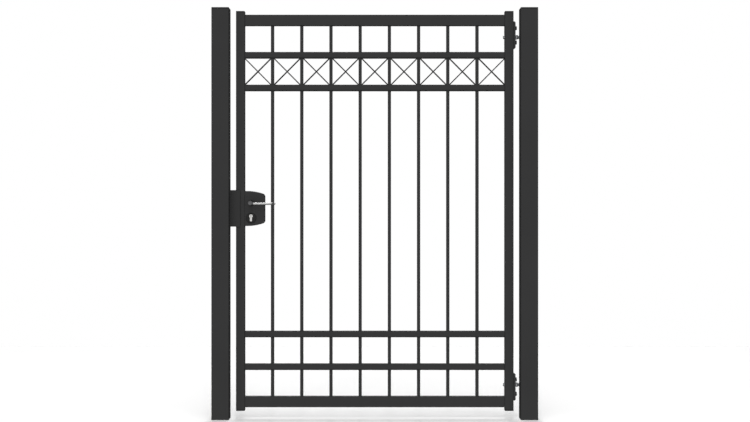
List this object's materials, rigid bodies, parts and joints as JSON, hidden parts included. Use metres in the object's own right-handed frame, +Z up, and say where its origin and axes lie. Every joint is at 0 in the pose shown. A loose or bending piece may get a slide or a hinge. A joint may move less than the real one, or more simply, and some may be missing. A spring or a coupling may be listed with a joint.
{
  "type": "garden gate",
  "caption": "Single-leaf garden gate of square tube with vertical bars, a band of X crosses, adjustable hinges and a lever-handle box lock, between two square posts.",
  "frame": {"origin": "on the ground, midway between the two posts, on the middle plane of the leaf", "axes": "+X towards the hinge post, +Y the way the leaf opens, +Z up"},
  "size_m": [1.5, 0.152, 1.895],
  "materials": {
    "powder_coat": "anthracite fine-texture powder coat, matt",
    "black_plastic": "black moulded plastic, matt",
    "black_hinge": "black coated casting and bolts, satin",
    "zinc": "bright zinc plating",
    "stainless": "satin stainless steel",
    "hub_metal": "dark grey satin die-casting",
    "nickel": "satin nickel plating",
    "rubber": "black rubber, matt",
    "nylon": "natural nylon"
  },
  "bodies": {
    "posts": {"hinge_post": "powder_coat", "latch_post": "powder_coat", "hinge_post_cap": "black_plastic", "latch_post_cap": "black_plastic", "hinge_backing_plates": "zinc", "upper_eye_stud": "zinc", "lower_eye_stud": "zinc", "strike_keep": "powder_coat", "keep_buffers": "rubber", "keep_screws": "zinc"},
    "leaf": {"hinge_stile": "powder_coat", "latch_stile": "powder_coat", "top_rail": "powder_coat", "upper_cross_rail": "powder_coat", "lower_cross_rail": "powder_coat", "upper_base_rail": "powder_coat", "lower_base_rail": "powder_coat", "bottom_rail": "powder_coat", "infill_bar_1": "powder_coat", "infill_bar_2": "powder_coat", "infill_bar_3": "powder_coat", "infill_bar_4": "powder_coat", "infill_bar_5": "powder_coat", "infill_bar_6": "powder_coat", "infill_bar_7": "powder_coat", "infill_bar_8": "powder_coat", "cross_flats_rising": "powder_coat", "cross_flats_falling": "powder_coat", "lock_case": "powder_coat", "stile_caps": "black_plastic", "handle_bushes": "black_plastic", "cylinder_rosettes": "black_plastic", "upper_hinge_plate": "black_hinge", "lower_hinge_plate": "black_hinge", "hinge_plate_bolts": "black_hinge", "hinge_rivet_nuts": "zinc", "upper_hinge_fork": "zinc", "lower_hinge_fork": "zinc", "fork_nuts": "zinc", "hinge_pins": "zinc", "lock_body": "zinc", "faceplate_screws": "zinc", "cylinder_screw": "zinc", "lock_faceplate": "stainless", "latch_spring": "stainless", "cylinder_housing": "nickel", "hinge_washers": "nylon"},
    "handle": {"front_lever": "stainless", "rear_lever": "stainless", "front_hub": "hub_metal", "rear_hub": "hub_metal", "spindle": "zinc", "follower": "zinc", "handle_grub_screws": "zinc"},
    "latch": {"latch_bolt": "stainless"},
    "key_core": {"cylinder_plugs": "nickel", "cylinder_cam": "nickel"},
    "dead_bolt": {"dead_bolt": "stainless"}
  },
  "joints": [
    {"name": "gate_swing", "type": "hinge", "parent": "posts", "child": "leaf", "pos_m": [0.656, 0, 0.9595], "axis": [0, 0, -1], "range_deg": [0, 90]},
    {"name": "handle_turn", "type": "hinge", "parent": "leaf", "child": "handle", "pos_m": [-0.572, 0, 0.9955], "axis": [0, 1, 0], "range_deg": [0, 40], "stiffness_Nm_per_rad": 2, "springref_deg": -28.65},
    {"name": "latch_slide", "type": "slide", "parent": "leaf", "child": "latch", "axis": [1, 0, 0], "range_m": [0, 0.012], "deforming": ["latch_spring"]},
    {"name": "key_turn", "type": "hinge", "parent": "leaf", "child": "key_core", "pos_m": [-0.572, 0, 0.9355], "axis": [0, -1, 0], "range_deg": [0, 360]},
    {"name": "bolt_throw", "type": "slide", "parent": "leaf", "child": "dead_bolt", "axis": [-1, 0, 0], "range_m": [0, 0.018]}
  ],
  "couplings": [
    {"joint": "latch_slide", "follows": "handle_turn", "m_per_rad": 0.017185},
    {"joint": "key_turn", "follows": "bolt_throw", "rad_per_m": 349}
  ]
}
